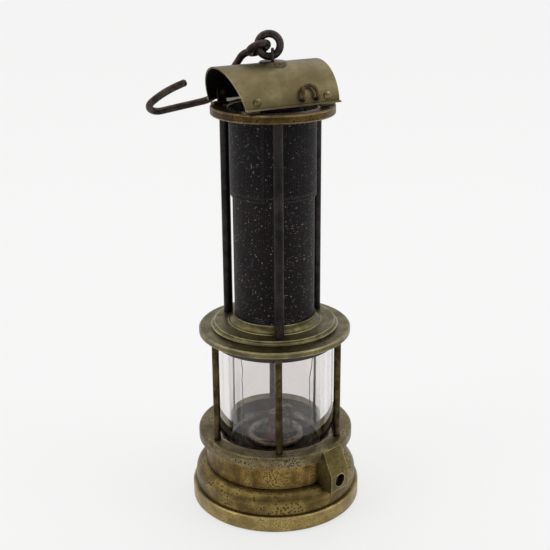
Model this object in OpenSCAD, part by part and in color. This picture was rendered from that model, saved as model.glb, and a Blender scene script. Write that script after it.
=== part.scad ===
// Miner's flame safety lamp: screwed brass oil font, glass cage, wire gauze and a hooded top.
// Origin: lamp axis at the base plane. +Z up, millimetres. The front of the lamp faces -Y.

/* [Font] */
// Radius of the foot hoop
foot_r = 44; // [42:0.5:54]
// Height of the foot hoop
foot_h = 8.2; // [7:0.1:10]
// Thickness of the foot hoop
foot_wall = 1.8; // [1.2:0.1:2.4]
// Width of the hoop's inner flange
foot_flange = 5; // [3:0.5:8]
// Thickness of the hoop's inner flange
flange_t = 2; // [1:0.1:2.5]
// Sheet thickness of the oil font
font_wall = 1.6; // [1:0.1:2.2]
// Height of the joint between font shoulder and cage
joint_z = 20.1; // [18:0.1:30]
// Radius of the rounded font shoulder
shoulder_r = 6; // [3:0.5:8]
// Height of the screwed neck above the joint
neck_h = 10.8; // [9:0.1:12]
// Height of the base disc above the foot flange
floor_lift = 10.2; // [9:0.1:10.4]
// Radius of the opening in the font's top
font_mouth_r = 28; // [26:0.5:29]

/* [Burner] */
// Outer radius of the bead round the burner
bead_outer_r = 15.2; // [13:0.1:18]
// Radius of the bead's section
bead_r = 2; // [1.5:0.1:2.5]
// Height of the raised boss under the bead
boss_h = 2; // [1:0.1:3]
// Radius of the wick tube
wick_tube_r = 3.5; // [3:0.1:5]
// Height of the wick tube above the font's top
wick_tube_h = 15.5; // [10:0.5:20]
// Wall of the wick tube
wick_tube_wall = 0.9; // [0.6:0.1:1.2]
// Distance of the pricker from the lamp axis
pricker_x = 8.2; // [7.6:0.1:9]
// Radius of the pricker wire
pricker_wire_r = 0.9; // [0.6:0.1:1.1]
// Upward travel of the pricker
pricker_travel = 8; // [4:0.5:8.5]
// Radius of the bend at the top of the pricker
pricker_bend_r = 2.4; // [2:0.1:2.6]

/* [Lower cage] */
// Wall of the collar that screws on the font
collar_wall = 2.5; // [2:0.1:4]
// Height of the collar, from the joint to the underside of the ring
collar_h = 13.5; // [11:0.1:15]
// How far the ring stands out from the collar
ring_overhang = 3.7; // [2:0.1:6]
// Height of the ring
ring_h = 6.1; // [5:0.1:9]
// Radius of the ring's rounded top edge
ring_round = 1.8; // [0.8:0.1:2]
// Radius of the lower pillars
low_pillar_r = 1.75; // [1.4:0.05:2]
// Distance of the lower pillars from the lamp axis
low_pillar_pcd_r = 35.2; // [35:0.1:36.2]
// Number of lower pillars
low_pillars = 6; // [4:1:8]
// Turn of the lower pillars about the axis
low_pillar_turn = 3; // [-10:1:10]

/* [Glass] */
// Outer radius of the glass
glass_r = 30.2; // [27:0.1:31]
// Wall of the glass
glass_wall = 6.3; // [4:0.1:8]
// Height of the glass
glass_h = 58; // [45:0.5:70]
// Thickness of each packing washer
packing_t = 1.5; // [1:0.1:2]

/* [Middle ring] */
// Radius of the middle flange
flange_r = 38.6; // [37:0.1:40]
// Thickness of the middle flange
mid_flange_t = 3.2; // [2.5:0.1:4]
// Outer radius of the step on the flange
step_r = 32.2; // [31.5:0.1:34]
// Height of the step on the flange
step_h = 2.9; // [2:0.1:4]
// Radius of the foot of the cove round the gauze
cove_r = 23.2; // [22.8:0.1:23.4]
// Height of the cove round the gauze
cove_h = 3.6; // [2.5:0.1:4.5]

/* [Gauze] */
// Outer radius of the inner gauze
gauze_r = 20.3; // [18:0.1:20.6]
// Thickness of a gauze
gauze_t = 0.8; // [0.6:0.1:1]
// Length of the gauze cap
cap_h = 42.5; // [30:0.5:60]

/* [Upper cage] */
// Height from the middle ring's step to the underside of the crown
upper_h = 105.4; // [90:0.5:130]
// Radius of the upper pillars
up_pillar_r = 2.35; // [1.8:0.05:2.6]
// Distance of the upper pillars from the lamp axis
up_pillar_pcd_r = 26.4; // [26.2:0.1:27.4]
// Number of upper pillars
up_pillars = 3; // [3:1:4]
// Turn of the upper pillars about the axis
up_pillar_turn = 5; // [0:1:10]
// Radius of the crown ring
crown_r = 30.1; // [29.8:0.1:32]
// Height of the crown ring
crown_h = 4.1; // [3.6:0.1:6]
// Depth of the recess in the crown's top
recess_d = 1.1; // [0.6:0.1:1.3]

/* [Hood] */
// Outside radius of the hood's bend
hood_r = 19.2; // [18.5:0.1:20.5]
// Sheet thickness of the hood
hood_t = 0.8; // [0.6:0.1:1.2]
// Height of the hood's lower edge above the crown
hood_gap = 2.6; // [1.6:0.1:4]
// Height of the hood, lower edge to ridge
hood_h = 17.3; // [15:0.1:18.5]
// Turn of the hood about the lamp axis
hood_turn = 30; // [0:1:45]
// Length of the hood on its square end
hood_right = 25.3; // [24.6:0.1:30]
// Length of the hood's lower edge on its raked end
hood_left = 24.9; // [24.6:0.1:30]
// Rake of the other end, length per unit of height
hood_rake = 0.32; // [0:0.01:0.5]
// Width of the turned-out lip
lip_w = 1.6; // [1:0.1:2.5]

/* [Suspension] */
// Outside radius of the suspension ring
susp_ring_r = 7; // [6.8:0.1:8]
// Radius of the ring's wire
susp_wire_r = 1.8; // [1.5:0.1:1.9]
// Sideways place of the ring in its eye
susp_shift = -1.6; // [-1.7:0.1:-1.5]
// Radius of the hook's rod
hook_rod_r = 1.75; // [1.5:0.05:1.8]
// Radius of the hook's eye, to the rod's centre
hook_eye_r = 4.5; // [4.45:0.01:4.6]
// Length of the hook's shank
hook_shank = 28.2; // [24:0.1:29]
// Radius of the hook's end bend
hook_bend_r = 5.9; // [5:0.1:8]
// Length of the hook's straight back
hook_back = 20.4; // [18:0.1:24]

/* [Lock] */
// Height of the lock screw above the base
lock_z = 23; // [22.8:0.1:23.4]
// Width of the lock lug
lug_w = 12.6; // [11:0.1:15]
// How far the lug's face stands out from the ring
lug_reach = 5.8; // [5:0.1:8]
// Height of the lug's face
lug_face_h = 9.6; // [9:0.1:10.4]
// Radius of the counterbore in the lug
lock_bore_r = 3.4; // [3:0.1:4]
// Radius of the lock screw's thread
lock_screw_r = 1.9; // [1.5:0.1:2]
// Direction of the lug from +X
lug_turn = -45; // [-60:1:-40]

/* [Fits] */
// Radial clearance of a fit
fit = 0.05; // [0.03:0.01:0.1]
// Clearance between parts that move past each other
gap = 0.3; // [0.2:0.05:0.4]
// Radius of the rivets
rivet_r = 1.1; // [0.9:0.05:1.3]

/* [Hidden] */
$fn = 96;
rod_fn = 24;                                       // sides given to thin round rods
rod_ease = 0.03;                                   // a rod's straights are this much thinner than its bends
rod_lap = 0.05;                                    // and run this far into them
eps = 0.01;
edge = 0.5;                                        // bevel on turned edges
// Font
shell_r = foot_r - foot_wall - fit;
neck_r = shell_r - shoulder_r - 2.25;
neck_wall = 1.6;
font_top = joint_z + neck_h;
floor_z = flange_t + floor_lift;
floor_t = 1.6;
// Burner
mouth_depth = 2.4;
boss_r = bead_outer_r + 0.8;
well_r = bead_outer_r - 2 * bead_r;
bead_flat = 0.6;
guide_r = pricker_wire_r + fit + 0.8;
tube_foot_r = pricker_x - guide_r - 0.2;
tube_foot_h = 7;
tube_tail = 9;
tube_top = font_top + wick_tube_h;
wick_r = wick_tube_r - wick_tube_wall - fit;
wick_tail = 15;                                    // height of the wick's lower end
wick_proud = 0.8;
pricker_foot_z = pricker_wire_r + 0.6;
// The guide's lower end stops the bar of the pricker
guide_z = pricker_foot_z + pricker_wire_r + pricker_travel + fit;
pricker_pull = 10;                                 // length of the bar it is pulled by
pricker_top = tube_top + 1.4;
// Lower cage
running = 0.1;                                     // radial clearance of the font's screw
collar_z = joint_z + 0.2;
collar_bore_r = neck_r + running;
collar_r = collar_bore_r + collar_wall;
ring_r = collar_r + ring_overhang;
ring_under = joint_z + collar_h;
ring_top = ring_under + ring_h;
ring_bore_r = low_pillar_pcd_r - low_pillar_r - 0.65;
shelf_z = font_top + 0.6;
washer_z = font_top + running;
washer_r = ring_bore_r - 0.6;
washer_in_r = font_mouth_r - 3.5;
glass_z = washer_z + packing_t + running;
glass_top = glass_z + glass_h;
tenon_h = 2.2;
low_tenon_r = low_pillar_r - 0.5;
// Middle ring
mid_z = glass_top + packing_t;                     // underside of the middle ring
flange_top = mid_z + mid_flange_t;
step_z = flange_top + step_h;
step_cove = 1.6;
bead_step = 0.6;
cove_top = step_z + bead_step + cove_h;
seat_t = 1.4;
seat_r = gauze_r + 4.5;
seat_collar_h = 6;
gauze_bore_r = gauze_r + 0.1;
skirt_wall = 1.1;
skirt_h = 3.4;
// Gauze
cap_inner_r = gauze_r + 0.1;
cap_r = cap_inner_r + gauze_t;
crown_z = step_z + upper_h;
crown_top = crown_z + crown_h;
cap_top = crown_top - recess_d - 0.2;
gauze_top = cap_top - gauze_t - 0.1;
// Upper cage
crown_bore_r = cap_r + 0.35;
recess_r = up_pillar_pcd_r - up_pillar_r - 0.45;
up_tenon_r = up_pillar_r - 0.75;
// Hood
hood_z = crown_top + hood_gap;
ridge_z = hood_z + hood_h;
hood_axis_z = ridge_z - hood_r;
hood_in_r = hood_r - hood_t;
function hood_v(r, z) = sqrt(r * r - pow(z - hood_axis_z, 2));
hood_end = hood_left + hood_rake * hood_h;         // how far the ridge reaches on the raked end
foot_t = 1;
foot_wide = 4.6;
foot_tab = 8;
foot_deep = 3.6;
foot_tall = 7.6;
rivet_u = 18.8;
rivet_z = crown_top + 5.2;
foot_v = hood_v(hood_in_r, crown_top + foot_tall) - 0.1;
tab_rivet_u = rivet_u + 3.6;
tab_rivet_v = foot_v - foot_deep / 2;
rivet_head = 0.5;
// Loop on the hood
loop_u = -8.4;
loop_span = 7.6;
loop_wire_r = 0.85;
loop_leg = 1.4;
loop_lean = 26;
loop_bend_r = 1.4;
loop_peg_z = hood_z + 1.6;
// Lower end of the loop's legs, above the bend into the sheet
loop_z = loop_peg_z + loop_bend_r * (1 + sin(loop_lean));
loop_v = hood_v(hood_r, loop_peg_z) + loop_wire_r + 0.95;
loop_peg = loop_v - loop_bend_r * cos(loop_lean) - hood_v(hood_in_r, loop_peg_z) + 0.6;
// Swivel, ring and hook
stem_r = 4.1;
pad_h = 0.5;
pad_r = 9;
pad_top_r = 6;
stem_top = ridge_z + pad_h;
burr_r = 6.4;
burr_t = 2.2;
burr_top = hood_axis_z + sqrt(hood_in_r * hood_in_r - burr_r * burr_r) - gap;
susp_major = susp_ring_r - susp_wire_r;
susp_z = stem_top + 0.4 + susp_ring_r;
eye_wire_r = 0.75;
eye_arch_r = susp_wire_r + 0.45 + eye_wire_r;
eye_z = susp_z - sqrt(susp_major * susp_major - susp_shift * susp_shift);
hook_at = 195;                                     // place of the hook's eye round the ring
hook_x = susp_shift + susp_major * cos(hook_at);
hook_z = susp_z + susp_major * sin(hook_at);
hook_turn = 203.4;                                 // the hook's plane
hook_tilt = 223.1;
eye_turn = 130.6;                                  // the plane of the hook's eye
eye_tilt = 33.9;
// The hook's rod after its eye: [length, 0] is straight, [radius, angle] is a bend
hook_steps = [[1, 0], [5, 50.5], [hook_shank, 0], [9, -65.7], [hook_back, 0], [hook_bend_r, -132.7],
    [0.4, 0], [34, -28], [3, 0]];
hook_heading = 30.8;
eye_rod_r = hook_rod_r + 0.06;                     // the eye is forged a little thicker
// Lock
lug_face_r = ring_r + lug_reach;
lug_z = lock_z - lug_face_h / 2 - 0.9;
lug_top = ring_top - 0.8;
lug_bevel = 1.2;
lock_depth = 4.2;
screw_tip_r = neck_r + 0.15;
screw_head_r = lock_bore_r - gap;
screw_head_t = 1.7;
slot_w = 1.1;
slot_d = 0.8;

// ---- helpers ----

// Points of an arc about (cx, cy), with its own radius each way
function arc(cx, cy, rx, ry, a0, a1, n = 10) =
    [for (i = [0:n]) let(a = a0 + (a1 - a0) * i / n) [cx + rx * cos(a), cy + ry * sin(a)]];

// Turned piece from its section in (radius, height)
module turned(points) {
    rotate_extrude() polygon(points);
}

// Tube from its two radii
module tube(outer, inner, z, h) {
    translate([0, 0, z]) difference() {
        cylinder(r = outer, h = h);
        translate([0, 0, -eps]) cylinder(r = inner, h = h + 2 * eps);
    }
}

// Bend of round rod in the XY plane, about the origin, starting on +X
module bend(bend_r, rod_r, angle) {
    rotate_extrude(angle = angle) translate([bend_r, 0]) circle(r = rod_r, $fn = rod_fn);
}

// Rod that starts at the origin along +X and follows the steps in the XY plane, with a bevelled end
module rod_path(steps, rod_r, i = 0) {
    if (i == len(steps)) {
        rotate([0, 90, 0]) cylinder(r1 = rod_r, r2 = 0.6 * rod_r, h = 0.5 * rod_r, $fn = rod_fn);
    } else {
        size = steps[i][0];
        turn = steps[i][1];
        side = turn < 0 ? -1 : 1;
        if (turn == 0) {
            translate([-rod_lap, 0, 0]) rotate([0, 90, 0])
                cylinder(r = rod_r - rod_ease, h = size + 2 * rod_lap, $fn = rod_fn);
            translate([size, 0, 0]) rod_path(steps, rod_r, i + 1);
        } else {
            translate([0, side * size, 0]) rotate([0, 0, turn < 0 ? 90 + turn : -90])
                bend(size, rod_r, abs(turn));
            translate([size * sin(abs(turn)), side * size * (1 - cos(turn)), 0])
                rotate([0, 0, turn]) rod_path(steps, rod_r, i + 1);
        }
    }
}

// Children placed round the lamp axis, the first one at the front
module round_axis(count, turn, dist) {
    for (i = [0:count - 1]) rotate([0, 0, -90 + turn + 360 * i / count]) translate([dist, 0, 0]) children();
}

// Children in the hood's own axes: X along the ridge to the raked end, Y to the front
module hood_axes() {
    rotate([0, 0, 180 + hood_turn]) children();
}

// Children at the four feet of the hood
module at_feet() {
    for (i = [0, 1], j = [0, 1]) hood_axes() mirror([i, 0, 0]) mirror([0, j, 0]) children();
}

// Cap of a sphere, standing on z = 0
module dome(base_r, h) {
    ball_r = (base_r * base_r + h * h) / (2 * h);
    intersection() {
        translate([0, 0, h - ball_r]) sphere(r = ball_r);
        cylinder(r = base_r + 1, h = h);
    }
}

// Rivet along +Z with a domed head at its top
module rivet(length) {
    cylinder(r = rivet_r, h = length);
    translate([0, 0, length]) dome(rivet_r * 1.7, rivet_head);
}

// Round pillar with a tenon at each end
module pillar(r, tenon_r, z, h) {
    translate([0, 0, z]) cylinder(r = r, h = h);
    translate([0, 0, z - tenon_h]) cylinder(r = tenon_r, h = h + 2 * tenon_h);
}

// Children along the lock screw's axis: X outward
module lock_axes() {
    rotate([0, 0, lug_turn]) children();
}

// ---- font ----

module foot_ring() color("darkkhaki") {
    inner = foot_r - foot_wall;
    turned([[inner - foot_flange, 0], [foot_r - edge, 0], [foot_r, edge], [foot_r, foot_h - edge],
        [foot_r - edge, foot_h], [inner, foot_h], [inner, flange_t], [inner - foot_flange, flange_t]]);
}

module font_shell() color("darkkhaki") {
    in_r = shoulder_r - font_wall;
    turned(concat([[shell_r, flange_t]],
        arc(shell_r - shoulder_r, joint_z - shoulder_r, shoulder_r, shoulder_r, 0, 90),
        [[neck_r, joint_z], [neck_r, font_top - edge], [neck_r - edge, font_top], [font_mouth_r, font_top],
        [font_mouth_r, font_top - mouth_depth], [neck_r - neck_wall, font_top - mouth_depth],
        [neck_r - neck_wall, joint_z - font_wall]],
        arc(shell_r - shoulder_r, joint_z - shoulder_r, in_r, in_r, 90, 0),
        [[shell_r - font_wall, flange_t]]));
}

module font_floor() color("olive") difference() {
    translate([0, 0, floor_z]) cylinder(r = shell_r - font_wall - fit, h = floor_t);
    translate([pricker_x, 0, floor_z - 1]) cylinder(r = guide_r + fit, h = floor_t + 2);
}

module burner_plate() color("dimgray") difference() {
    turned([[wick_tube_r + fit, font_top - mouth_depth], [font_mouth_r - fit, font_top - mouth_depth],
        [font_mouth_r - fit, font_top], [boss_r + 2, font_top], [boss_r, font_top + boss_h],
        [well_r, font_top + boss_h], [well_r - 1, font_top], [wick_tube_r + fit, font_top]]);
    translate([pricker_x, 0, font_top - mouth_depth - 1]) cylinder(r = guide_r + fit, h = mouth_depth + 2);
}

// The bead is a round rod, flat where it sits on the boss
module burner_bead() color("gray") intersection() {
    translate([0, 0, font_top + boss_h + bead_r - bead_flat])
        bend(bead_outer_r - bead_r, bead_r, 360);
    translate([0, 0, font_top + boss_h]) cylinder(r = 2 * bead_outer_r, h = 3 * bead_r);
}

module wick_tube() color("rosybrown") {
    bore = wick_tube_r - wick_tube_wall;
    turned([[bore, font_top - tube_tail], [wick_tube_r, font_top - tube_tail], [wick_tube_r, font_top],
        [tube_foot_r, font_top], [wick_tube_r, font_top + tube_foot_h], [wick_tube_r, tube_top],
        [bore, tube_top]]);
}

module wick() color("ivory") translate([0, 0, wick_tail])
    cylinder(r = wick_r, h = tube_top + wick_proud - wick_tail);

module pricker_guide() color("darkgoldenrod") translate([pricker_x, 0, 0])
    tube(guide_r, pricker_wire_r + fit, guide_z, font_top + boss_h / 2 - guide_z);

// A wire with a bar to pull under the base, bent over the wick at its top
module pricker() color("slategray") {
    translate([pricker_x, 0, pricker_foot_z]) {
        cylinder(r = pricker_wire_r, h = pricker_top - pricker_foot_z, $fn = rod_fn);
        sphere(r = pricker_wire_r, $fn = rod_fn);
        rotate([0, -90, 0]) cylinder(r = pricker_wire_r, h = pricker_pull, $fn = rod_fn);
    }
    translate([pricker_x - pricker_bend_r, 0, pricker_top]) rotate([90, 0, 0])
        bend(pricker_bend_r, pricker_wire_r, 180);
}

module font_washer() color("saddlebrown") tube(washer_r, washer_in_r, washer_z, packing_t);

// ---- lower cage ----

// Collar and ring are one turning; the screw thread in the collar is shown by its clearance radius
module lower_ring() color("darkkhaki") difference() {
    turned(concat([[collar_bore_r, collar_z], [collar_r, collar_z], [collar_r, ring_under],
        [ring_r - edge, ring_under], [ring_r, ring_under + edge]],
        arc(ring_r - ring_round, ring_top - ring_round, ring_round, ring_round, 0, 90),
        [[ring_bore_r, ring_top], [ring_bore_r, shelf_z], [collar_bore_r, shelf_z]]));
    round_axis(low_pillars, low_pillar_turn, low_pillar_pcd_r)
        translate([0, 0, ring_top - tenon_h]) cylinder(r = low_tenon_r + fit, h = tenon_h + 1);
    lock_axes() translate([neck_r - 2, 0, lock_z]) rotate([0, 90, 0])
        cylinder(r = lock_screw_r + fit, h = lug_face_r - neck_r);
}

// Wedge brazed on the ring and collar, hanging just clear of the font's shoulder
module lock_lug() color("darkkhaki") difference() {
    lock_axes() translate([0, lug_w / 2, 0]) rotate([90, 0, 0]) linear_extrude(height = lug_w)
        polygon([[collar_r - 2, lug_z], [lug_face_r - lug_bevel / 2, lug_z],
            [lug_face_r, lug_z + lug_bevel], [lug_face_r, lug_z + lug_face_h], [ring_r, lug_top],
            [collar_r - 2, lug_top]]);
    cylinder(r = collar_r + eps, h = ring_top + 1);
    translate([0, 0, ring_under - eps]) cylinder(r = ring_r + eps, h = ring_h + 1);
    turned(concat([[0, 0], [shell_r + gap, 0]],
        arc(shell_r - shoulder_r, joint_z - shoulder_r, shoulder_r + gap, shoulder_r + gap, 0, 90),
        [[0, joint_z + gap]]));
    lock_axes() translate([0, 0, lock_z]) rotate([0, 90, 0]) {
        cylinder(r = lock_screw_r + fit, h = lug_face_r + 1);
        translate([0, 0, lug_face_r - lock_depth]) cylinder(r = lock_bore_r, h = lock_depth + 1);
    }
}

module lock_screw() color("darkslategray") {
    seat = lug_face_r - lock_depth + 0.15;
    lock_axes() translate([screw_tip_r, 0, lock_z]) rotate([0, 90, 0]) difference() {
        union() {
            cylinder(r = lock_screw_r, h = seat - screw_tip_r);
            translate([0, 0, seat - screw_tip_r]) cylinder(r = screw_head_r, h = screw_head_t);
        }
        translate([-slot_w / 2, -lock_bore_r, seat - screw_tip_r + screw_head_t - slot_d])
            cube([slot_w, 2 * lock_bore_r, slot_d + 1]);
    }
}

module lower_pillars() color("darkkhaki") round_axis(low_pillars, low_pillar_turn, low_pillar_pcd_r)
    pillar(low_pillar_r, low_tenon_r, ring_top, mid_z - ring_top);

// ---- glass and gauze ----

module glass() color("lightcyan", 0.35) tube(glass_r, glass_r - glass_wall, glass_z, glass_h);

// Packing that caps the top edge of the glass
module glass_packing() color("dimgray") {
    inner = glass_r - glass_wall - 0.2;
    lip_r = glass_r + fit;
    turned([[inner, glass_top], [lip_r, glass_top], [lip_r, glass_top - skirt_h],
        [lip_r + skirt_wall, glass_top - skirt_h], [lip_r + skirt_wall, mid_z], [inner, mid_z]]);
}

// Flanged ring that the gauze is bound to, clamped under the middle ring
module gauze_seat() color("darkgoldenrod") {
    collar = gauze_r - gauze_t - fit;
    turned([[collar - 1, mid_z], [seat_r, mid_z], [seat_r, mid_z + seat_t], [collar, mid_z + seat_t],
        [collar, mid_z + seat_t + seat_collar_h], [collar - 1, mid_z + seat_t + seat_collar_h]]);
}

// Tube closed at the top, open at the bottom
module closed_tube(outer, wall, z, top) {
    difference() {
        translate([0, 0, z]) cylinder(r = outer, h = top - z);
        translate([0, 0, z - 1]) cylinder(r = outer - wall, h = top - wall - z + 1);
    }
}

module inner_gauze() color("darkslategray")
    closed_tube(gauze_r, gauze_t, mid_z + seat_t, gauze_top);

module gauze_cap() color("black") closed_tube(cap_r, gauze_t, cap_top - cap_h, cap_top);

module middle_ring() color("darkkhaki") difference() {
    turned(concat([[gauze_bore_r, mid_z + seat_t], [seat_r + fit, mid_z + seat_t], [seat_r + fit, mid_z],
        [flange_r - edge, mid_z], [flange_r, mid_z + edge], [flange_r, flange_top - edge],
        [flange_r - edge, flange_top], [step_r, flange_top]],
        arc(step_r, step_z, step_cove, step_cove, 270, 180, 6),
        [[cove_r + bead_step, step_z], [cove_r + bead_step, step_z + bead_step / 2],
        [cove_r + bead_step / 2, step_z + bead_step]],
        arc(cove_r, cove_top, cove_r - gauze_bore_r - edge, cove_h, 270, 180),
        [[gauze_bore_r, cove_top]]));
    round_axis(low_pillars, low_pillar_turn, low_pillar_pcd_r)
        translate([0, 0, mid_z - 1]) cylinder(r = low_tenon_r + fit, h = tenon_h + 1);
    round_axis(up_pillars, up_pillar_turn, up_pillar_pcd_r)
        translate([0, 0, step_z - tenon_h]) cylinder(r = up_tenon_r + fit, h = tenon_h + 1);
}

// ---- upper cage ----

module upper_pillars() color("darkslategray") round_axis(up_pillars, up_pillar_turn, up_pillar_pcd_r)
    pillar(up_pillar_r, up_tenon_r, step_z, crown_z - step_z);

module crown_ring() color("darkkhaki") difference() {
    turned([[crown_bore_r, crown_z], [crown_r - edge, crown_z], [crown_r, crown_z + edge],
        [crown_r, crown_top - edge], [crown_r - edge, crown_top], [recess_r, crown_top],
        [recess_r, crown_top - recess_d], [crown_bore_r, crown_top - recess_d]]);
    round_axis(up_pillars, up_pillar_turn, up_pillar_pcd_r)
        translate([0, 0, crown_z - 1]) cylinder(r = up_tenon_r + fit, h = tenon_h + 1);
    at_feet() translate([tab_rivet_u, tab_rivet_v, crown_z - 1]) cylinder(r = rivet_r + fit, h = crown_h + 2);
}

// ---- hood ----

// Angle bracket: one leaf on the crown, one up the inside of the hood
module hood_feet() color("darkkhaki") at_feet() difference() {
    translate([rivet_u - foot_wide / 2, 0, crown_top]) {
        translate([0, foot_v - foot_t, 0]) cube([foot_wide, foot_t, foot_tall]);
        translate([0, foot_v - foot_deep, 0]) cube([foot_tab, foot_deep, foot_t]);
    }
    translate([rivet_u, foot_v - foot_deep, rivet_z]) rotate([-90, 0, 0])
        cylinder(r = rivet_r + fit, h = 2 * foot_deep);
    translate([tab_rivet_u, tab_rivet_v, crown_top - 1]) cylinder(r = rivet_r + fit, h = foot_t + 2);
}

module foot_rivets() color("darkgoldenrod") at_feet() translate([tab_rivet_u, tab_rivet_v, crown_z])
    rivet(crown_h + foot_t);

// Bent sheet with a square end, a raked end and a turned-out lip along both lower edges
module hood() color("darkkhaki") difference() {
    hood_axes() {
        difference() {
            translate([-hood_right, 0, hood_axis_z]) rotate([0, 90, 0])
                cylinder(r = hood_r, h = hood_right + hood_end + 1);
            translate([-hood_right - 1, 0, hood_axis_z]) rotate([0, 90, 0])
                cylinder(r = hood_in_r, h = hood_right + hood_end + 3);
            translate([-hood_right - 1, -hood_r - 1, hood_z - 2 * hood_r])
                cube([hood_right + hood_end + 3, 2 * hood_r + 2, 2 * hood_r]);
            translate([0, hood_r + 1, 0]) rotate([90, 0, 0]) linear_extrude(height = 2 * hood_r + 2)
                polygon([[hood_left, hood_z], [hood_end, ridge_z], [hood_end, ridge_z + 1],
                    [hood_end + 3, ridge_z + 1], [hood_end + 3, hood_z - 1], [hood_left, hood_z - 1]]);
        }
        for (j = [0, 1]) mirror([0, j, 0])
            translate([-hood_right, hood_v(hood_in_r, hood_z), hood_z - hood_t])
                cube([hood_right + hood_left, hood_t + lip_w, hood_t]);
    }
    at_feet() translate([rivet_u, 0, rivet_z]) rotate([-90, 0, 0]) cylinder(r = rivet_r + fit, h = hood_r + 2);
    hood_axes() translate([loop_u, 0, loop_peg_z]) rotate([-90, 0, 0]) for (i = [-1, 1])
        translate([i * loop_span / 2, 0, 0]) cylinder(r = loop_wire_r + fit, h = hood_r + 2);
    cylinder(r = stem_r + fit, h = ridge_z + 5);
}

module hood_rivets() color("darkgoldenrod") at_feet()
    translate([rivet_u, foot_v - foot_t - 0.3, rivet_z]) rotate([-90, 0, 0])
        rivet(hood_r - 0.05 - foot_v + foot_t + 0.3);

// Arched loop of wire standing on the front of the hood, its ends bent in through the sheet
module hood_loop() color("sienna") hood_axes() translate([loop_u, loop_v, loop_z])
    rotate([loop_lean, 0, 0]) {
        translate([0, 0, loop_leg]) rotate([90, 0, 0]) bend(loop_span / 2, loop_wire_r, 180);
        for (i = [-1, 1]) translate([i * loop_span / 2, 0, loop_leg]) rotate([0, 90, 180])
            rod_path([[loop_leg, 0], [loop_bend_r, 90 + loop_lean], [loop_peg, 0]], loop_wire_r);
    }

// ---- suspension ----

// Saddle-shaped pad on the ridge, round the swivel's stem
module swivel_pad() color("darkkhaki") difference() {
    translate([0, 0, ridge_z + pad_h - 3]) cylinder(r1 = pad_r, r2 = pad_top_r, h = 3);
    hood_axes() translate([-2 * pad_r, 0, hood_axis_z]) rotate([0, 90, 0])
        cylinder(r = hood_r + eps, h = 4 * pad_r);
    cylinder(r = stem_r + fit, h = stem_top + 1);
}

// Stem with a staple over the ring
module swivel_stem() color("darkslategray") {
    stem_z = burr_top - burr_t - 0.6;
    translate([0, 0, stem_z]) cylinder(r = stem_r, h = stem_top - stem_z);
    translate([0, 0, eye_z]) rotate([0, 0, 90]) rotate([90, 0, 0]) bend(eye_arch_r, eye_wire_r, 180);
    for (i = [-1, 1]) translate([0, i * eye_arch_r, stem_top - 1])
        cylinder(r = eye_wire_r, h = eye_z - stem_top + 1);
}

module swivel_burr() color("darkgoldenrod") tube(burr_r, stem_r + eps, burr_top - burr_t, burr_t);

module suspension_ring() color("darkslategray") translate([susp_shift, 0, susp_z]) rotate([90, 0, 0])
    bend(susp_major, susp_wire_r, 360);

module hook() color("darkslategray") translate([hook_x, 0, hook_z]) {
    rotate([0, 0, eye_turn]) rotate([0, eye_tilt, 0]) bend(hook_eye_r, eye_rod_r, 360);
    rotate([0, 0, hook_turn]) rotate([hook_tilt, 0, 0])
        rotate([0, 0, hook_heading]) translate([hook_eye_r, 0, 0]) rod_path(hook_steps, hook_rod_r);
}

foot_ring();
font_shell();
font_floor();
burner_plate();
burner_bead();
wick_tube();
wick();
pricker_guide();
pricker();
font_washer();
lower_ring();
lock_lug();
lock_screw();
lower_pillars();
glass();
glass_packing();
gauze_seat();
inner_gauze();
gauze_cap();
middle_ring();
upper_pillars();
crown_ring();
hood_feet();
foot_rivets();
hood();
hood_rivets();
hood_loop();
swivel_pad();
swivel_stem();
swivel_burr();
suspension_ring();
hook();
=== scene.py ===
# A miner's flame safety lamp: tarnished brass, dark iron rods, woven wire gauze and thick glass.
import bpy
import math
import numpy as np
from mathutils import Matrix, Vector


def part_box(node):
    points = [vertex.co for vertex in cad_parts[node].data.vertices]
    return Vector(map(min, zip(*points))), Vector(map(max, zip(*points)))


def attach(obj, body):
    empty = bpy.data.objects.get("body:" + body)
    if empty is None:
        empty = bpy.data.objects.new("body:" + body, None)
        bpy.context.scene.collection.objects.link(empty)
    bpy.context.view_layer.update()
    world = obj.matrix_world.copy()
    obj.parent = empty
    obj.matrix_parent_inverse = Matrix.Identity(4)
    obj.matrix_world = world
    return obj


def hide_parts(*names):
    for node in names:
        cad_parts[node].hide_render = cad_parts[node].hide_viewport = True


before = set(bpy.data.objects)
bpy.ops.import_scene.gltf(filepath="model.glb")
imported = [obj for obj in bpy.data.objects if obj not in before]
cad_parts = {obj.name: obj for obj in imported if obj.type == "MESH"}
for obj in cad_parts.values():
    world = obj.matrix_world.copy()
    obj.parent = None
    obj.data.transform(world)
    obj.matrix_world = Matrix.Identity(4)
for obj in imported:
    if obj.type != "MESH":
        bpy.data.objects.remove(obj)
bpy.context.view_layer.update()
scene = bpy.context.scene
mm = 0.001
skyward = np.array([0.0, 0.0, 1.0])
print("frame loaded")


def box(node):  # the low and the high corner of a node
    lo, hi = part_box(node)
    return np.array(lo, dtype=float), np.array(hi, dtype=float)


def hexColour(text):  # sRGB hex to linear: c / 12.92 below 0.04045, else ((c + 0.055) / 1.055) ^ 2.4
    out = []
    for i in (0, 2, 4):
        c = int(text[i:i + 2], 16) / 255
        out.append(c / 12.92 if c <= 0.04045 else ((c + 0.055) / 1.055) ** 2.4)
    return (out[0], out[1], out[2], 1.0)


def addNode(tree, kind, values=None, **props):
    # one node: its properties, then each input as a value or a link
    node = tree.nodes.new(kind)
    for key, value in props.items():
        setattr(node, key, value)
    for key, value in (values or {}).items():
        socket = node.inputs[key]
        if isinstance(value, bpy.types.NodeSocket):
            tree.links.new(value, socket)
        else:
            socket.default_value = value
    return node


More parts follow.
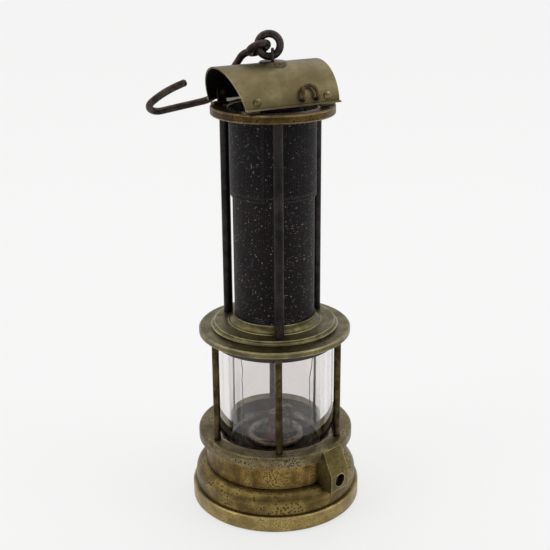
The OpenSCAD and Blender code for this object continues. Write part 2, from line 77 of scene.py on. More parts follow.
def newMaterial(name):  # an empty node tree with its output
    material = bpy.data.materials.new(name)
    material.use_nodes = True
    tree = material.node_tree
    tree.nodes.clear()
    return material, tree, tree.nodes.new("ShaderNodeOutputMaterial")


def meshFrom(name, verts, quads, caps=(), smooth=True):  # arrays of points and faces put into a mesh
    mesh = bpy.data.meshes.new(name)
    faces = np.asarray(quads).reshape(-1, 4).tolist() + [list(cap) for cap in caps]
    mesh.from_pydata(verts.reshape(-1, 3), [], faces)
    mesh.polygons.foreach_set("use_smooth", np.full(len(mesh.polygons), smooth))
    mesh.update()
    piece = bpy.data.objects.new(name, mesh)
    scene.collection.objects.link(piece)
    return piece


def tubesAlong(name, paths, up, radius, sides=4, closed=False):
    # tubes along paths: each point of a path carries a ring: centre + a cos(q) side + b sin(q) over,
    # with side = along x up and over = side x along
    paths = np.asarray(paths, dtype=float)
    m, n = paths.shape[:2]
    if closed:
        along = np.roll(paths, -1, 1) - np.roll(paths, 1, 1)
    else:
        along = np.gradient(paths, axis=1)
    along /= np.linalg.norm(along, axis=2, keepdims=True)
    side = np.cross(along, np.broadcast_to(up, along.shape))
    side /= np.linalg.norm(side, axis=2, keepdims=True)
    over = np.cross(side, along)
    q = (np.arange(sides) + 0.5) * 2 * math.pi / sides
    a, b = radius if isinstance(radius, tuple) else (radius, radius)
    a, b = np.broadcast_to(a, (m, n)), np.broadcast_to(b, (m, n))
    ring = a[:, :, None, None] * np.cos(q)[:, None] * side[:, :, None] \
        + b[:, :, None, None] * np.sin(q)[:, None] * over[:, :, None]
    verts = paths[:, :, None] + ring
    index = np.arange(m * n * sides).reshape(m, n, sides)
    nxt = np.roll(index, -1, 1) if closed else index[:, 1:]
    cur = index if closed else index[:, :-1]
    quads = np.stack([cur, nxt, np.roll(nxt, -1, 2), np.roll(cur, -1, 2)], axis=-1)
    caps = [] if closed else index[:, 0].tolist() + index[:, -1, ::-1].tolist()
    return meshFrom(name, verts, quads, caps)


def aroundAxis(angle, radius, height):  # x = r cos a, y = r sin a, z = height
    return np.stack([radius * np.cos(angle), radius * np.sin(angle), height], axis=-1)


def agedMetal(name, look):
    # blotches of tarnish, dark pits, turning lines, grime with painted shade in the corners and bright worn
    # edges
    material, tree, output = newMaterial(name)
    place = addNode(tree, "ShaderNodeTexCoord").outputs["Object"]
    axes = addNode(tree, "ShaderNodeSeparateXYZ", {0: place})
    flat = addNode(tree, "ShaderNodeCombineXYZ", {0: axes.outputs[0], 1: axes.outputs[1]})
    radius = addNode(tree, "ShaderNodeVectorMath", {0: flat.outputs[0]}, operation="LENGTH")
    turning = addNode(tree, "ShaderNodeCombineXYZ", {0: radius.outputs["Value"], 2: axes.outputs[2]})
    blotch = addNode(tree, "ShaderNodeTexNoise", {"Vector": place, "Scale": 1000 / look["blotchMm"],
                                                  "Detail": 7.0, "Roughness": 0.62, "Distortion": 0.4})
    speck = addNode(tree, "ShaderNodeTexNoise", {"Vector": place, "Scale": 1000 / look["speckMm"],
                                                 "Detail": 4.0, "Roughness": 0.7})
    pit = addNode(tree, "ShaderNodeTexVoronoi", {"Vector": place, "Scale": 1000 / look["pitMm"],
                                                 "Randomness": 1.0})
    line = addNode(tree, "ShaderNodeTexNoise", {"Vector": turning.outputs[0], "Scale": 1000 / look["lineMm"],
                                                "Detail": 3.0, "Roughness": 0.6})
    blotchMask = addNode(tree, "ShaderNodeMapRange", {0: blotch.outputs["Fac"], 1: 0.38, 2: 0.62},
                         interpolation_type="SMOOTHSTEP")
    speckMask = addNode(tree, "ShaderNodeMapRange", {0: speck.outputs["Fac"], 1: 0.52, 2: 0.70},
                        interpolation_type="SMOOTHSTEP")
    pitGate = addNode(tree, "ShaderNodeMapRange", {0: blotch.outputs["Fac"], 1: 0.40, 2: 0.60,
                                                   3: 0.10, 4: 0.42})
    pitMask = addNode(tree, "ShaderNodeMath", {0: pit.outputs["Distance"], 1: pitGate.outputs[0]},
                      operation="LESS_THAN")
    # edges stand out where the rounded normal turns away from the true one
    rounded = addNode(tree, "ShaderNodeBevel", {"Radius": look["edgeMm"] * mm}, samples=6)
    true = addNode(tree, "ShaderNodeNewGeometry")
    turned = addNode(tree, "ShaderNodeVectorMath", {0: rounded.outputs[0], 1: true.outputs["Normal"]},
                     operation="DOT_PRODUCT")
    edge = addNode(tree, "ShaderNodeMapRange", {0: turned.outputs["Value"], 1: 0.985, 2: 0.90},
                   interpolation_type="SMOOTHSTEP")
    hollow = addNode(tree, "ShaderNodeAmbientOcclusion", {"Distance": look["grimeAndShadeMm"] * mm}, samples=6)
    exposed = addNode(tree, "ShaderNodeMapRange", {0: hollow.outputs["AO"], 1: 0.35, 2: 0.85},
                    interpolation_type="SMOOTHSTEP")
    rubbed = addNode(tree, "ShaderNodeMath", {0: edge.outputs[0], 1: exposed.outputs[0]},
                     operation="MULTIPLY")
    uneven = addNode(tree, "ShaderNodeMapRange", {0: blotch.outputs["Fac"], 1: 0.35, 2: 0.65,
                                                  3: 0.25, 4: 1.0})
    worn = addNode(tree, "ShaderNodeMath", {0: rubbed.outputs[0], 1: uneven.outputs[0]}, operation="MULTIPLY")
    wornMore = addNode(tree, "ShaderNodeMath", {0: worn.outputs[0], 1: look["wear"]}, operation="MULTIPLY")
    body = addNode(tree, "ShaderNodeMix", {0: blotchMask.outputs[0], 6: hexColour(look["dark"]),
                                           7: hexColour(look["base"])}, data_type="RGBA")
    if "splitMm" in look:  # below this height the metal is another tone
        below = addNode(tree, "ShaderNodeMapRange", {0: axes.outputs[2], 1: look["splitMm"] * mm + 0.0002,
                                                     2: look["splitMm"] * mm - 0.0002})
        lowBody = addNode(tree, "ShaderNodeMix", {0: blotchMask.outputs[0], 6: hexColour(look["lowDark"]),
                                                  7: hexColour(look["lowBase"])}, data_type="RGBA")
        body = addNode(tree, "ShaderNodeMix", {0: below.outputs[0], 6: body.outputs[2],
                                               7: lowBody.outputs[2]}, data_type="RGBA")
    lineMix = addNode(tree, "ShaderNodeMapRange", {0: line.outputs["Fac"], 1: 0.35, 2: 0.7, 3: 0.0,
                                                   4: look["lines"]})
    lined = addNode(tree, "ShaderNodeMix", {0: lineMix.outputs[0], 6: body.outputs[2],
                                            7: hexColour(look["light"])}, data_type="RGBA")
    speckled = addNode(tree, "ShaderNodeMath", {0: speckMask.outputs[0], 1: look["specks"]},
                       operation="MULTIPLY")
    dotted = addNode(tree, "ShaderNodeMix", {0: speckled.outputs[0], 6: lined.outputs[2],
                                             7: hexColour(look["speck"])}, data_type="RGBA")
    pitted = addNode(tree, "ShaderNodeMath", {0: pitMask.outputs[0], 1: look["pits"]}, operation="MULTIPLY")
    holed = addNode(tree, "ShaderNodeMix", {0: pitted.outputs[0], 6: dotted.outputs[2],
                                            7: hexColour(look["grimeAndShadeTone"])}, data_type="RGBA")
    # painted shade with grime: in hollows that ambient occlusion finds, the colour darkens towards the dark
    # tone
    shut = addNode(tree, "ShaderNodeMath", {0: 1.0, 1: exposed.outputs[0]}, operation="SUBTRACT")
    grimeAndShade = addNode(tree, "ShaderNodeMath", {0: shut.outputs[0], 1: look["grimeAndShade"]}, operation="MULTIPLY")
    grimedAndShaded = addNode(tree, "ShaderNodeMix", {0: grimeAndShade.outputs[0], 6: holed.outputs[2],
                                            7: hexColour(look["grimeAndShadeTone"])}, data_type="RGBA")
    colour = addNode(tree, "ShaderNodeMix", {0: wornMore.outputs[0], 6: grimedAndShaded.outputs[2],
                                             7: hexColour(look["bright"])}, data_type="RGBA")
    if "sootAndShadeAxisMm" in look:  # faces that look towards the axis of the bend, at this height, are darkened by soot and painted shade
        arm = addNode(tree, "ShaderNodeVectorMath", {0: place, 1: (0.0, 0.0, look["sootAndShadeAxisMm"] * mm)},
                      operation="SUBTRACT")
        facing = addNode(tree, "ShaderNodeVectorMath", {0: arm.outputs[0], 1: true.outputs["Normal"]},
                         operation="DOT_PRODUCT")
        inside = addNode(tree, "ShaderNodeMapRange", {0: facing.outputs["Value"], 1: -0.004, 2: -0.012,
                                                      3: 0.0, 4: 0.9})
        colour = addNode(tree, "ShaderNodeMix", {0: inside.outputs[0], 6: colour.outputs[2],
                                                 7: hexColour(look["sootAndShadeTone"])}, data_type="RGBA")
    roughA = addNode(tree, "ShaderNodeMapRange", {0: blotch.outputs["Fac"], 1: 0.3, 2: 0.7,
                                                  3: look["rough"] + 0.08, 4: look["rough"] - 0.06})
    roughB = addNode(tree, "ShaderNodeMath", {0: wornMore.outputs[0], 1: -0.14, 2: roughA.outputs[0]},
                     operation="MULTIPLY_ADD")
    heightA = addNode(tree, "ShaderNodeMath", {0: pitMask.outputs[0], 1: -look["pits"],
                                               2: speck.outputs["Fac"]}, operation="MULTIPLY_ADD")
    heightB = addNode(tree, "ShaderNodeMath", {0: line.outputs["Fac"], 1: look["lines"] * 0.8,
                                               2: heightA.outputs[0]}, operation="MULTIPLY_ADD")
    bump = addNode(tree, "ShaderNodeBump", {"Strength": look["bump"], "Distance": look["depthMm"] * mm,
                                            "Height": heightB.outputs[0]})
    shader = addNode(tree, "ShaderNodeBsdfPrincipled", {
        "Base Color": colour.outputs[2], "Metallic": look["metallic"], "Roughness": roughB.outputs[0],
        "Normal": bump.outputs[0]})
    tree.links.new(shader.outputs[0], output.inputs[0])
    return material


# Tarnished brass that was spun or turned: olive-brown, with grime and painted shade in its corners and bright
# rubbed edges
brassLook = {"base": "86723F", "dark": "4E3F1F", "light": "9A8754", "bright": "D8C792", "speck": "33270F",
    "grimeAndShadeTone": "1E170C", "blotchMm": 11.0, "speckMm": 0.8, "pitMm": 1.5, "lineMm": 0.5, "edgeMm": 0.6,
    "grimeAndShadeMm": 2.4, "wear": 1.0, "lines": 0.3, "specks": 0.55, "pits": 0.8, "grimeAndShade": 0.95, "rough": 0.36,
    "bump": 0.5, "depthMm": 0.16, "metallic": 0.9}
spunBrass = agedMetal("spunBrassTarnished", brassLook)
# A rolled hoop is rubbed where the lamp stands and is carried: paler, yellower and finely pitted
hoopBrass = agedMetal("rolledBrassHoop", {
    **brassLook, "base": "A9945A", "dark": "7C6940", "light": "BCA870", "pits": 0.6, "specks": 0.85,
    "speckMm": 0.6, "pitMm": 0.85, "lines": 0.12, "bump": 0.7})
# Cast brass keeps its casting pits, so the ring reads grey and spotted; its collar below is turned and yellower
castBrass = agedMetal("castBrassPitted", {
    **brassLook, "base": "827656", "dark": "51462C", "light": "9C9070", "speck": "231B0C", "pits": 0.9,
    "pitMm": 0.95, "specks": 0.95, "speckMm": 0.55, "bump": 0.75, "lines": 0.08, "rough": 0.4,
    "edgeMm": 0.8, "splitMm": 33.5, "lowBase": "9C8149", "lowDark": "5F4920"})
# The lug is filed cast brass: dull olive faces with bright corners
lugBrass = agedMetal("castBrassLug", {
    **brassLook, "base": "6E623A", "dark": "463C1E", "bright": "E6D8A6", "pits": 0.35, "specks": 0.5})
# Turned brass that hands hold has fine lines, grime and painted shade in its steps and thin bright edges
turnedBrass = agedMetal("turnedBrassHandled", {
    **brassLook, "base": "68603A", "dark": "383117", "light": "928663", "bright": "E4D8B0", "lines": 0.45,
    "specks": 0.5, "speckMm": 0.6, "pits": 0.3, "grimeAndShadeMm": 5.0, "edgeMm": 0.95, "rough": 0.34,
    "blotchMm": 8.0})
# Turned brass above the gauze is browned by smoke
crownBrass = agedMetal("turnedBrassSmoked", {
    **brassLook, "base": "564321", "dark": "281C0C", "light": "766238", "bright": "CDB680", "specks": 0.6,
    "rough": 0.38, "edgeMm": 0.8, "blotchMm": 7.0})
# Rolled sheet brass goes grey-brown and stays satin; its inside is darkened nearly black by soot and painted
# shade
hoodBrass = agedMetal("rolledSheetBrass", {
    **brassLook, "base": "766B4E", "dark": "62573B", "light": "877C5D", "bright": "AB9E78",
    "speck": "453B27", "blotchMm": 22.0, "sootAndShadeAxisMm": 208.4, "sootAndShadeTone": "17110B", "speckMm": 1.1,
    "specks": 0.22, "pits": 0.12, "pitMm": 2.6, "lines": 0.1, "rough": 0.4, "bump": 0.14,
    "grimeAndShade": 0.6, "wear": 0.7, "grimeAndShadeMm": 1.2})
# Drawn rod is smooth and darkens to brown
rodBrass = agedMetal("drawnBrassRod", {
    **brassLook, "base": "54482A", "dark": "261D0D", "light": "7A6B42", "bright": "BBAA78",
    "blotchMm": 6.0, "lines": 0.1, "pits": 0.2, "rough": 0.4})
# Hammered rivet heads have the tone of the sheet that they hold
rivetBrass = agedMetal("brassRivetWorn", {
    **brassLook, "base": "766B4E", "dark": "62573B", "blotchMm": 6.0, "speckMm": 0.6, "specks": 0.25,
    "pits": 0.1, "wear": 0.3, "grimeAndShade": 0.15, "bump": 0.2})
# The pad under the swivel is dull and smoked
padBrass = agedMetal("brassPadSmoked", {
    **brassLook, "base": "544A32", "dark": "352D1B", "light": "6A5F45", "bright": "857A58",
    "blotchMm": 5.0, "wear": 0.25, "lines": 0.1})
# Drawn iron rod carries a near-black oiled skin, grey where it is rubbed
ironLook = {"base": "2E2928", "dark": "141110", "light": "5E5753", "bright": "938B86", "speck": "120E0D",
    "grimeAndShadeTone": "0C0908", "blotchMm": 7.0, "speckMm": 0.9, "pitMm": 1.3, "lineMm": 0.6, "edgeMm": 0.4,
    "grimeAndShadeMm": 1.6, "wear": 0.5, "lines": 0.12, "specks": 0.5, "pits": 0.4, "grimeAndShade": 0.6, "rough": 0.44,
    "bump": 0.5, "depthMm": 0.15, "metallic": 0.85}
rodIron = agedMetal("drawnIronRod", ironLook)
# Forged iron is scaled, and rubbed lighter where links meet
forgedIron = agedMetal("forgedIronHandled", {
    **ironLook, "base": "4A4340", "dark": "221C1A", "light": "6E6661", "blotchMm": 5.0, "rough": 0.4,
    "wear": 0.8})
# The hook has brown rust in its scale
rustyIron = agedMetal("forgedIronRusted", {
    **ironLook, "base": "4A403A", "dark": "261C17", "light": "655951", "speck": "3F2418", "blotchMm": 4.0,
    "specks": 0.6, "rough": 0.46, "metallic": 0.75})
# The screw is oiled and brown-black
screwIron = agedMetal("ironScrewOiled", {
    **ironLook, "base": "453A30", "dark": "1E1712", "blotchMm": 3.0})
# Sheet iron near the flame is matt with soot
sootIron = agedMetal("sheetIronSooted", {
    **ironLook, "base": "4A423B", "dark": "221C18", "blotchMm": 9.0, "rough": 0.6, "metallic": 0.5,
    "specks": 0.7})
# Tinned wire is dull grey
greyWire = agedMetal("tinnedWireDull", {
    **ironLook, "base": "9A8B7C", "dark": "625548", "light": "B8AC9E", "bright": "DAD4CC",
    "speck": "4A423C", "blotchMm": 4.0, "rough": 0.42})
# Brass that was heated turns red-brown
hotBrass = agedMetal("wickTubeHeated", {
    **brassLook, "base": "9C614A", "dark": "66392A", "light": "B58468", "bright": "BFA088",
    "blotchMm": 5.0, "rough": 0.5, "pits": 0.2})
# Drawn brass wire, browned and dull
brownWire = agedMetal("drawnWireBrowned", {
    **brassLook, "base": "5C4729", "dark": "33240F", "light": "7C6741", "bright": "978258",
    "speck": "20140A", "blotchMm": 3.0, "specks": 0.4, "rough": 0.45, "metallic": 0.75})
print("metals made")


def groundGlass(name, look):  # clear inside, with a little dust and faint drawn waves on its skin
    material, tree, output = newMaterial(name)
    place = addNode(tree, "ShaderNodeTexCoord").outputs["Object"]
    drawn = addNode(tree, "ShaderNodeMapping", {"Vector": place, "Scale": (1.0, 1.0, look["drawn"])})
    wave = addNode(tree, "ShaderNodeTexNoise", {"Vector": drawn.outputs[0], "Scale": 1000 / look["waveMm"],
                                                "Detail": 2.0})
    dust = addNode(tree, "ShaderNodeTexNoise", {"Vector": place, "Scale": 1000 / look["dustMm"],
                                                "Detail": 5.0, "Roughness": 0.7})
    dustMask = addNode(tree, "ShaderNodeMapRange", {0: dust.outputs["Fac"], 1: 0.6, 2: 0.8, 3: 0.0,
                                                    4: look["dustRough"]})
    bump = addNode(tree, "ShaderNodeBump", {"Strength": look["bump"], "Distance": look["depthMm"] * mm,
                                            "Height": wave.outputs["Fac"]})
    shader = addNode(tree, "ShaderNodeBsdfPrincipled", {
        "Base Color": hexColour(look["tint"]), "Roughness": dustMask.outputs[0], "IOR": 1.52,
        "Transmission Weight": 1.0, "Normal": bump.outputs[0]})
    tree.links.new(shader.outputs[0], output.inputs[0])
    return material


def mattFibre(name, look):  # matt fibres: two tones, a fine nap and a soft sheen
    material, tree, output = newMaterial(name)
    place = addNode(tree, "ShaderNodeTexCoord").outputs["Object"]
    cloud = addNode(tree, "ShaderNodeTexNoise", {"Vector": place, "Scale": 1000 / look["cloudMm"],
                                                 "Detail": 5.0, "Roughness": 0.6})
    nap = addNode(tree, "ShaderNodeTexNoise", {"Vector": place, "Scale": 1000 / look["napMm"], "Detail": 4.0,
                                               "Roughness": 0.7})
    tone = addNode(tree, "ShaderNodeMix", {0: cloud.outputs["Fac"], 6: hexColour(look["dark"]),
                                           7: hexColour(look["base"])}, data_type="RGBA")
    napMask = addNode(tree, "ShaderNodeMapRange", {0: nap.outputs["Fac"], 1: 0.5, 2: 0.72, 3: 0.0, 4: 0.7})
    colour = addNode(tree, "ShaderNodeMix", {0: napMask.outputs[0], 6: tone.outputs[2],
                                             7: hexColour(look["light"])}, data_type="RGBA")
    bump = addNode(tree, "ShaderNodeBump", {"Strength": 0.6, "Distance": 0.2 * mm,
                                            "Height": nap.outputs["Fac"]})
    shader = addNode(tree, "ShaderNodeBsdfPrincipled", {
        "Base Color": colour.outputs[2], "Roughness": look["rough"], "Sheen Weight": look["sheen"],
        "Normal": bump.outputs[0]})
    tree.links.new(shader.outputs[0], output.inputs[0])
    return material


# Old drawn glass is clear with the least tint, and waves faintly along its length
lampGlass = groundGlass("groundClearGlass", {
    "tint": "EEEBEA", "waveMm": 18.182, "drawn": 0.12, "dustMm": 1.1111, "dustRough": 0.08, "bump": 0.25,
    "depthMm": 0.6})
# Packing is pressed dark fibre, grey-purple with lint on it
packingFibre = mattFibre("pressedPackingFibre", {
    "base": "4A3F40", "dark": "231C1E", "light": "6E6466", "cloudMm": 5.0, "napMm": 0.35, "rough": 0.85,
    "sheen": 0.2})
# Twisted cotton is matt and pale, yellowed by oil
wickCotton = mattFibre("twistedCottonWick", {
    "base": "B3A68C", "dark": "6E6250", "light": "D3C8AE", "cloudMm": 3.0, "napMm": 0.2, "rough": 0.9,
    "sheen": 0.3})
# Oiled leather is dark brown with a soft grain
washerLeather = mattFibre("oiledLeather", {
    "base": "5A3A24", "dark": "38220F", "light": "7A5636", "cloudMm": 4.0, "napMm": 0.5, "rough": 0.6,
    "sheen": 0.1})
# A crack's face holds grey dirt
crackFace = mattFibre("glassCrackFace", {
    "base": "6B6A66", "dark": "2E2D2B", "light": "B5B5B0", "cloudMm": 4.0, "napMm": 0.6, "rough": 0.3,
    "sheen": 0.0})


def gauzeWire(name, look):  # oiled iron wire, near black, purple-brown, with lint and rust caught in it
    material, tree, output = newMaterial(name)
    place = addNode(tree, "ShaderNodeTexCoord").outputs["Object"]
    cloud = addNode(tree, "ShaderNodeTexNoise", {"Vector": place, "Scale": 1000 / look["cloudMm"],
                                                 "Detail": 6.0, "Roughness": 0.65})
    lint = addNode(tree, "ShaderNodeTexNoise", {"Vector": place, "Scale": 1000 / look["lintMm"],
                                                "Detail": 3.0})
    rust = addNode(tree, "ShaderNodeMapRange", {0: cloud.outputs["Fac"], 1: 0.42, 2: 0.64})
    tone = addNode(tree, "ShaderNodeMix", {0: rust.outputs[0], 6: hexColour(look["base"]),
                                           7: hexColour(look["rust"])}, data_type="RGBA")
    lintMask = addNode(tree, "ShaderNodeMapRange", {0: lint.outputs["Fac"], 1: 0.62, 2: 0.70, 3: 0.0, 4: 0.8})
    colour = addNode(tree, "ShaderNodeMix", {0: lintMask.outputs[0], 6: tone.outputs[2],
                                             7: hexColour(look["lint"])}, data_type="RGBA")
    shader = addNode(tree, "ShaderNodeBsdfPrincipled", {
        "Base Color": colour.outputs[2], "Metallic": 0.65, "Roughness": 0.4})
    tree.links.new(shader.outputs[0], output.inputs[0])
    return material


# Woven iron wire, oiled and sooted: near black, with flecks of lint and rust
gauzeIron = gauzeWire("wovenIronWire", {
    "base": "120D0E", "rust": "1E1412", "lint": "968C88", "cloudMm": 9.0, "lintMm": 1.1})
# The cap stands in the smoke, so its wire is darker still
capIron = gauzeWire("wovenIronWireSmoked", {
    "base": "0C090A", "rust": "130D0E", "lint": "7B7272", "cloudMm": 8.0, "lintMm": 1.2})
# Lacing wire was put on later and stays greyer
laceIron = gauzeWire("lacingWireDull", {
    "base": "4E4442", "rust": "3A2B26", "lint": "A59C96", "cloudMm": 5.0, "lintMm": 0.8})
print("glass, fibre and gauze made")

finishes = {
    "foot_ring": hoopBrass, "font_shell": spunBrass, "font_floor": spunBrass, "burner_plate": sootIron,
    "burner_bead": greyWire, "wick_tube": hotBrass, "pricker_guide": hotBrass, "pricker": greyWire,
    "font_washer": washerLeather, "lower_ring": castBrass, "lock_lug": lugBrass, "lock_screw": screwIron,
    "lower_pillars": rodBrass, "glass": lampGlass, "glass_packing": packingFibre, "gauze_seat": turnedBrass,
    "middle_ring": turnedBrass, "upper_pillars": rodIron, "crown_ring": crownBrass, "hood_feet": hoodBrass,
    "foot_rivets": rivetBrass, "hood": hoodBrass, "hood_rivets": rivetBrass, "hood_loop": brownWire,
    "swivel_pad": padBrass, "swivel_stem": forgedIron, "swivel_burr": rivetBrass,
    "suspension_ring": forgedIron, "hook": rustyIron}
for nodeName, finish in finishes.items():
    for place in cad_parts[nodeName].material_slots:
        place.material = finish
print("finishes put on")

# 28 or 29 wires to the inch; a wire is four-sided, 0.31 mm from its middle to a corner, so 0.44 mm wide
gauze = {"pitch": 0.88 * mm, "wire": 0.31 * mm, "swing": 0.12 * mm}


def weave(name, radius, low, high, pitch, wire):
    # uprights: point (R + swing s) at angle a, height z, s = +1 or -1 in turn; rounds: the same with -s
    count = int(round(2 * math.pi * radius / pitch / 2)) * 2
    rows = int((high - low) / pitch)
    angle = np.arange(count) * 2 * math.pi / count
    height = np.linspace(low + wire, high - wire, rows)
    a, z = np.meshgrid(angle, height, indexing="ij")
    step = 1.0 - 2.0 * ((np.arange(count)[:, None] + np.arange(rows)[None, :]) % 2)
    out = np.stack([np.cos(a), np.sin(a), np.zeros_like(a)], axis=-1)
    rise = np.stack([np.zeros_like(a), np.zeros_like(a), z], axis=-1)
    upright = out * (radius + gauze["swing"] * step)[..., None] + rise
    around = out * (radius - gauze["swing"] * step)[..., None] + rise
    warp = tubesAlong(name + "Uprights", upright, out[:, :1], wire)
    weft = tubesAlong(name + "Rounds", around.transpose(1, 0, 2), skyward, wire, closed=True)
    return warp, weft


def weaveLid(name, radius, level, pitch, wire):
    # two sets of chords of a circle, half length sqrt(R^2 - y^2), each rising and dipping in turn
    count = int(2 * radius / pitch)
    across = np.linspace(-radius, radius, count + 2)[1:-1]
    half = np.sqrt(radius ** 2 - across ** 2)
    s = np.linspace(-1.0, 1.0, count)
    step = 1.0 - 2.0 * ((np.arange(count)[:, None] + np.arange(count)[None, :]) % 2)
    x = half[:, None] * s[None, :]
    y = np.broadcast_to(across[:, None], x.shape)
    first = np.stack([x, y, level + wire * step], axis=-1)
    second = np.stack([y, x, level - wire * step], axis=-1)
    return tubesAlong(name, np.concatenate([first, second]), skyward, wire)


def putGauze(name, node, material):
    # a tube and lid of gauze in a node's box: the weave's mean radius is the box's less a wire and its swing
    lo, hi = box(node)
    wire = gauze["wire"]
    radius = hi[0] - wire - gauze["swing"]
    pieces = list(weave(name, radius, lo[2], hi[2] - 2 * wire, gauze["pitch"], wire))
    pieces.append(weaveLid(name + "Lid", radius - wire, hi[2] - 2 * wire, gauze["pitch"], wire))
    for piece in pieces:
        piece.data.materials.append(material)
        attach(piece, "cage")
    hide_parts(node)
    for piece in pieces[1:]:
        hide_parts(node)
    return radius


gauzeRadius = putGauze("innerGauze", "inner_gauze", gauzeIron)
capRadius = putGauze("gauzeCap", "gauze_cap", capIron)
capLow, capHigh = box("gauze_cap")

# A dark film between the wires closes most of the meshes, thinner in places: soot and oil, and painted shade of
# the lamp's dark inside
sootAndShade = {"tone": "0C0909", "rough": 0.85, "grainMm": 2.381, "shut": 1.0, "thin": 0.78, "points": 144,
        "low": 0.1 * mm, "high": 1.0 * mm}
sootAndShadeFilm, filmTree, filmOutput = newMaterial("sootAndPaintedShadeInMeshes")
filmPlace = addNode(filmTree, "ShaderNodeTexCoord").outputs["Object"]
filmNoise = addNode(filmTree, "ShaderNodeTexNoise", {"Vector": filmPlace, "Scale": 1000 / sootAndShade["grainMm"],
                                                     "Detail": 5.0, "Roughness": 0.7})
filmAlpha = addNode(filmTree, "ShaderNodeMapRange", {0: filmNoise.outputs["Fac"], 1: 0.42, 2: 0.60,
                                                     3: sootAndShade["shut"], 4: sootAndShade["thin"]})
filmShader = addNode(filmTree, "ShaderNodeBsdfPrincipled", {
    "Base Color": hexColour(sootAndShade["tone"]), "Roughness": sootAndShade["rough"], "Alpha": filmAlpha.outputs[0]})
filmTree.links.new(filmShader.outputs[0], filmOutput.inputs[0])
filmTurn = np.linspace(0, 2 * math.pi, sootAndShade["points"], endpoint=False)
filmRows = np.arange(2 * sootAndShade["points"]).reshape(2, -1)
filmFaces = np.stack([filmRows[0], np.roll(filmRows[0], -1), np.roll(filmRows[1], -1), filmRows[1]], axis=-1)
filmAt = (("innerGauzeSootAndShade", "inner_gauze", gauzeRadius), ("gauzeCapSootAndShade", "gauze_cap", capRadius))
for name, node, radius in filmAt:
    filmLow, filmHigh = box(node)
    hoops = [aroundAxis(filmTurn, radius, np.full_like(filmTurn, level))
             for level in (filmLow[2] + sootAndShade["low"], filmHigh[2] - sootAndShade["high"])]
    film = meshFrom(name, np.stack(hoops), filmFaces)
    film.data.materials.append(sootAndShadeFilm)
    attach(film, "cage")
    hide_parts(node)
print("gauze woven")

# The cap's seam is a lap of gauze laced with wire; its lower edge is turned up and laced too
seam = {"angle": math.radians(-104), "stitch": 2.1 * mm, "reach": 1.5 * mm, "rod": 0.13 * mm, "points": 420,
        "stand": 0.14 * mm, "ripple": 0.05 * mm, "low": 0.5 * mm, "high": 1.5 * mm}
capTall = capHigh[2] - capLow[2]
seamRadius = capRadius + seam["stand"]
t = np.linspace(0.0, 1.0, seam["points"])
swing = np.sin(t * 2 * math.pi * capTall / seam["stitch"])
lace = aroundAxis(seam["angle"] + swing * seam["reach"] / seamRadius * 0.5,
                  seamRadius + seam["ripple"] * np.cos(t * 900),
                  capLow[2] + seam["low"] + t * (capTall - seam["low"] - seam["high"]))
seamOut = aroundAxis(np.array([seam["angle"]]), 1.0, np.zeros(1))
seamLace = tubesAlong("capSeamLace", lace[None], seamOut[None], seam["rod"], sides=5)

hemShape = {"points": 720, "waves": (3, 7, 13, 23, 41), "wave": (0.1, 0.32), "low": 0.75 * mm,
            "high": 2.6 * mm, "ragged": 0.35 * mm, "stitches": 96, "stitch": 0.7 * mm, "rod": 0.16 * mm,
            "stand": (0.1 * mm, 0.12 * mm)}
rng = np.random.default_rng(7)
hemTurn = np.linspace(0, 2 * math.pi, hemShape["points"], endpoint=False)
ragged = sum(rng.uniform(*hemShape["wave"]) * np.sin(hemTurn * k + rng.uniform(0, 6.3))
             for k in hemShape["waves"])
hemLow = aroundAxis(hemTurn, capRadius + hemShape["stand"][0],
                    capLow[2] + hemShape["low"] + ragged * hemShape["ragged"])
hemHigh = aroundAxis(hemTurn, capRadius + hemShape["stand"][1],
                     capLow[2] + hemShape["high"]
                     + np.sin(hemTurn * hemShape["stitches"]) * hemShape["stitch"])
hem = tubesAlong("capHem", np.stack([hemLow, hemHigh]), skyward, hemShape["rod"], sides=5,
                 closed=True)
for piece in (seamLace, hem):
    piece.data.materials.append(laceIron)
    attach(piece, "cage")
print("cap laced")

wick = {"strands": 7, "lay": 13 * mm, "strand": 0.78 * mm, "points": 90}
wickLow, wickHigh = box("wick")
wickMiddle = (wickLow + wickHigh) / 2
wickRadius = (wickHigh[0] - wickLow[0]) / 2 - wick["strand"]
s = np.linspace(0.0, 1.0, wick["points"])
rise = wickLow[2] + 0.05 * mm + s * (wickHigh[2] - wickLow[2] - 0.1 * mm)
start = np.arange(wick["strands"])[:, None] * 2 * math.pi / wick["strands"]
twist = start + (rise - wickLow[2])[None, :] / wick["lay"] * 2 * math.pi
wickAxis = np.array([wickMiddle[0], wickMiddle[1], 0.0])
strandPath = aroundAxis(twist, wickRadius, np.broadcast_to(rise, twist.shape)) + wickAxis
core = (aroundAxis(np.zeros_like(rise), 0.0, rise) + wickAxis)[None]
taper = wick["strand"] * np.clip(np.minimum(s, 1 - s) * 60, 0.45, 1.0)
wickPiece = tubesAlong("wickStrands", np.concatenate([strandPath, core]), np.array([0.31, 0.95, 0.0]),
                       np.broadcast_to(taper, (wick["strands"] + 1, wick["points"])), sides=10)
wickPiece.data.materials.append(wickCotton)
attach(wickPiece, "font")
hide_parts("wick")
print("wick twisted")

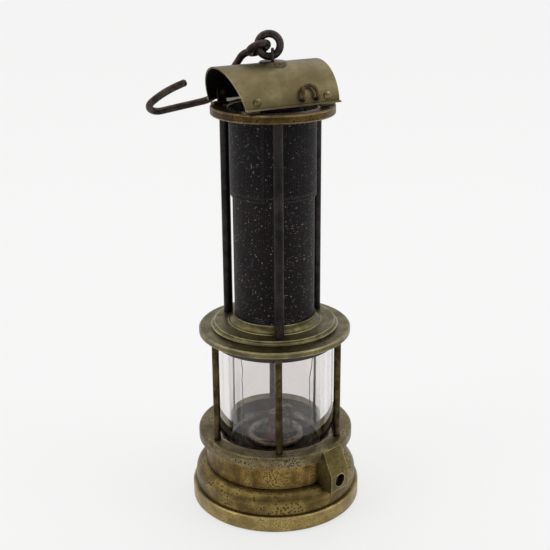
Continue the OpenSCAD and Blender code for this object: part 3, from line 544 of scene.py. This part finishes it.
# Each crack is a thin curved face through the glass wall
crack = {"angles": (-124.5, -50.5), "bow": (2.2, -4.4), "halfWall": 0.5 * mm, "thin": 0.03 * mm, "points": 80,
         "inset": 1.0 * mm, "end": 0.4 * mm}
glassLow, glassHigh = box("glass")
u = np.linspace(0.0, 1.0, crack["points"])
crackRise = glassLow[2] + crack["end"] + u * (glassHigh[2] - glassLow[2] - 2 * crack["end"])
crackPaths = []
for angle, bow in zip(crack["angles"], crack["bow"]):
    wobble = 0.6 * np.sin(u * 15 + angle) + 0.3 * np.sin(u * 37 + bow) + 0.12 * np.sin(u * 83)
    turn = np.radians(angle + bow * np.sin(u * math.pi) + wobble)
    crackPaths.append(aroundAxis(turn, glassHigh[0] - crack["inset"], crackRise))
crackUp = aroundAxis(np.radians(crack["angles"]), 1.0, np.zeros(2))
cracks = tubesAlong("glassCracks", np.stack(crackPaths), crackUp[:, None], (crack["thin"], crack["halfWall"]),
                    sides=8)
cracks.data.materials.append(crackFace)
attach(cracks, "cage")
print("cracks drawn")

room = {"size": 12.0, "floor": "898988", "glow": 0.635, "below": 0.2 * mm, "behind": 0.30, "level": 0.62,
        "overhead": 1.25}
corner = np.array([[-1, -1, 0], [1, -1, 0], [1, 1, 0], [-1, 1, 0]], dtype=float) * room["size"]
corner[:, 2] = -room["below"]
floorPiece = meshFrom("studioFloor", corner, [[0, 1, 2, 3]], smooth=False)
floorMaterial, floorTree, floorOutput = newMaterial("pureWhitePaper")
floorShader = addNode(floorTree, "ShaderNodeBsdfPrincipled", {
    "Base Color": hexColour(room["floor"]), "Roughness": 0.75, "Specular IOR Level": 0.2,
    "Emission Color": (1.0, 1.0, 1.0, 1.0), "Emission Strength": room["glow"]})
floorTree.links.new(floorShader.outputs[0], floorOutput.inputs[0])
floorPiece.data.materials.append(floorMaterial)

world = bpy.data.worlds.new("softRoom")
scene.world = world
world.use_nodes = True
sky = world.node_tree
sky.nodes.clear()
skyPlace = addNode(sky, "ShaderNodeTexCoord").outputs["Generated"]
skyAxes = addNode(sky, "ShaderNodeSeparateXYZ", {0: skyPlace})
# the room is dim behind the viewer and at eye height, bright overhead and at the back
front = addNode(sky, "ShaderNodeMapRange", {0: skyAxes.outputs[1], 1: -0.95, 2: 0.1, 3: room["behind"], 4: 1.0},
                interpolation_type="SMOOTHSTEP")
upward = addNode(sky, "ShaderNodeMapRange", {0: skyAxes.outputs[2], 1: 0.15, 2: 0.8, 3: room["level"],
                                             4: room["overhead"]}, interpolation_type="SMOOTHSTEP")
strength = addNode(sky, "ShaderNodeMath", {0: front.outputs[0], 1: upward.outputs[0]}, operation="MULTIPLY")
backdrop = addNode(sky, "ShaderNodeBackground", {0: (1.0, 1.0, 1.0, 1.0), 1: strength.outputs[0]})
addNode(sky, "ShaderNodeOutputWorld", {0: backdrop.outputs[0]})

lamps = {
    "softLeft": {"at": (-1.05, -0.55, 0.95), "size": 0.7, "power": 2.8},
    "softRight": {"at": (1.05, -0.35, 0.80), "size": 0.7, "power": 2.0},
    "softTop": {"at": (0.0, 0.25, 1.5), "size": 1.1, "power": 2.0},
}
for name, spec in lamps.items():
    light = bpy.data.lights.new(name, "AREA")
    light.shape = "SQUARE"
    light.size = spec["size"]
    light.energy = spec["power"]
    holder = bpy.data.objects.new(name, light)
    holder.location = spec["at"]
    holder.rotation_euler = (Vector((0, 0, 0.12)) - Vector(spec["at"])).to_track_quat("-Z", "Y").to_euler()
    scene.collection.objects.link(holder)

view = {"at": (0.00042, -0.4940, 0.2947), "down": 0.337, "roll": math.radians(-0.42), "lens": 68.07}
camera = bpy.data.cameras.new("viewCamera")
camera.lens = view["lens"]
camera.sensor_width = 36.0
camera.clip_start = 0.01
camera.clip_end = 100.0
eye = bpy.data.objects.new("viewCamera", camera)
tilt = Matrix.Rotation(math.pi / 2 - view["down"], 4, "X") @ Matrix.Rotation(view["roll"], 4, "Z")
eye.matrix_world = Matrix.Translation(view["at"]) @ tilt
scene.collection.objects.link(eye)
scene.camera = eye
scene.view_settings.view_transform = "Standard"
print("room, lights and camera set")
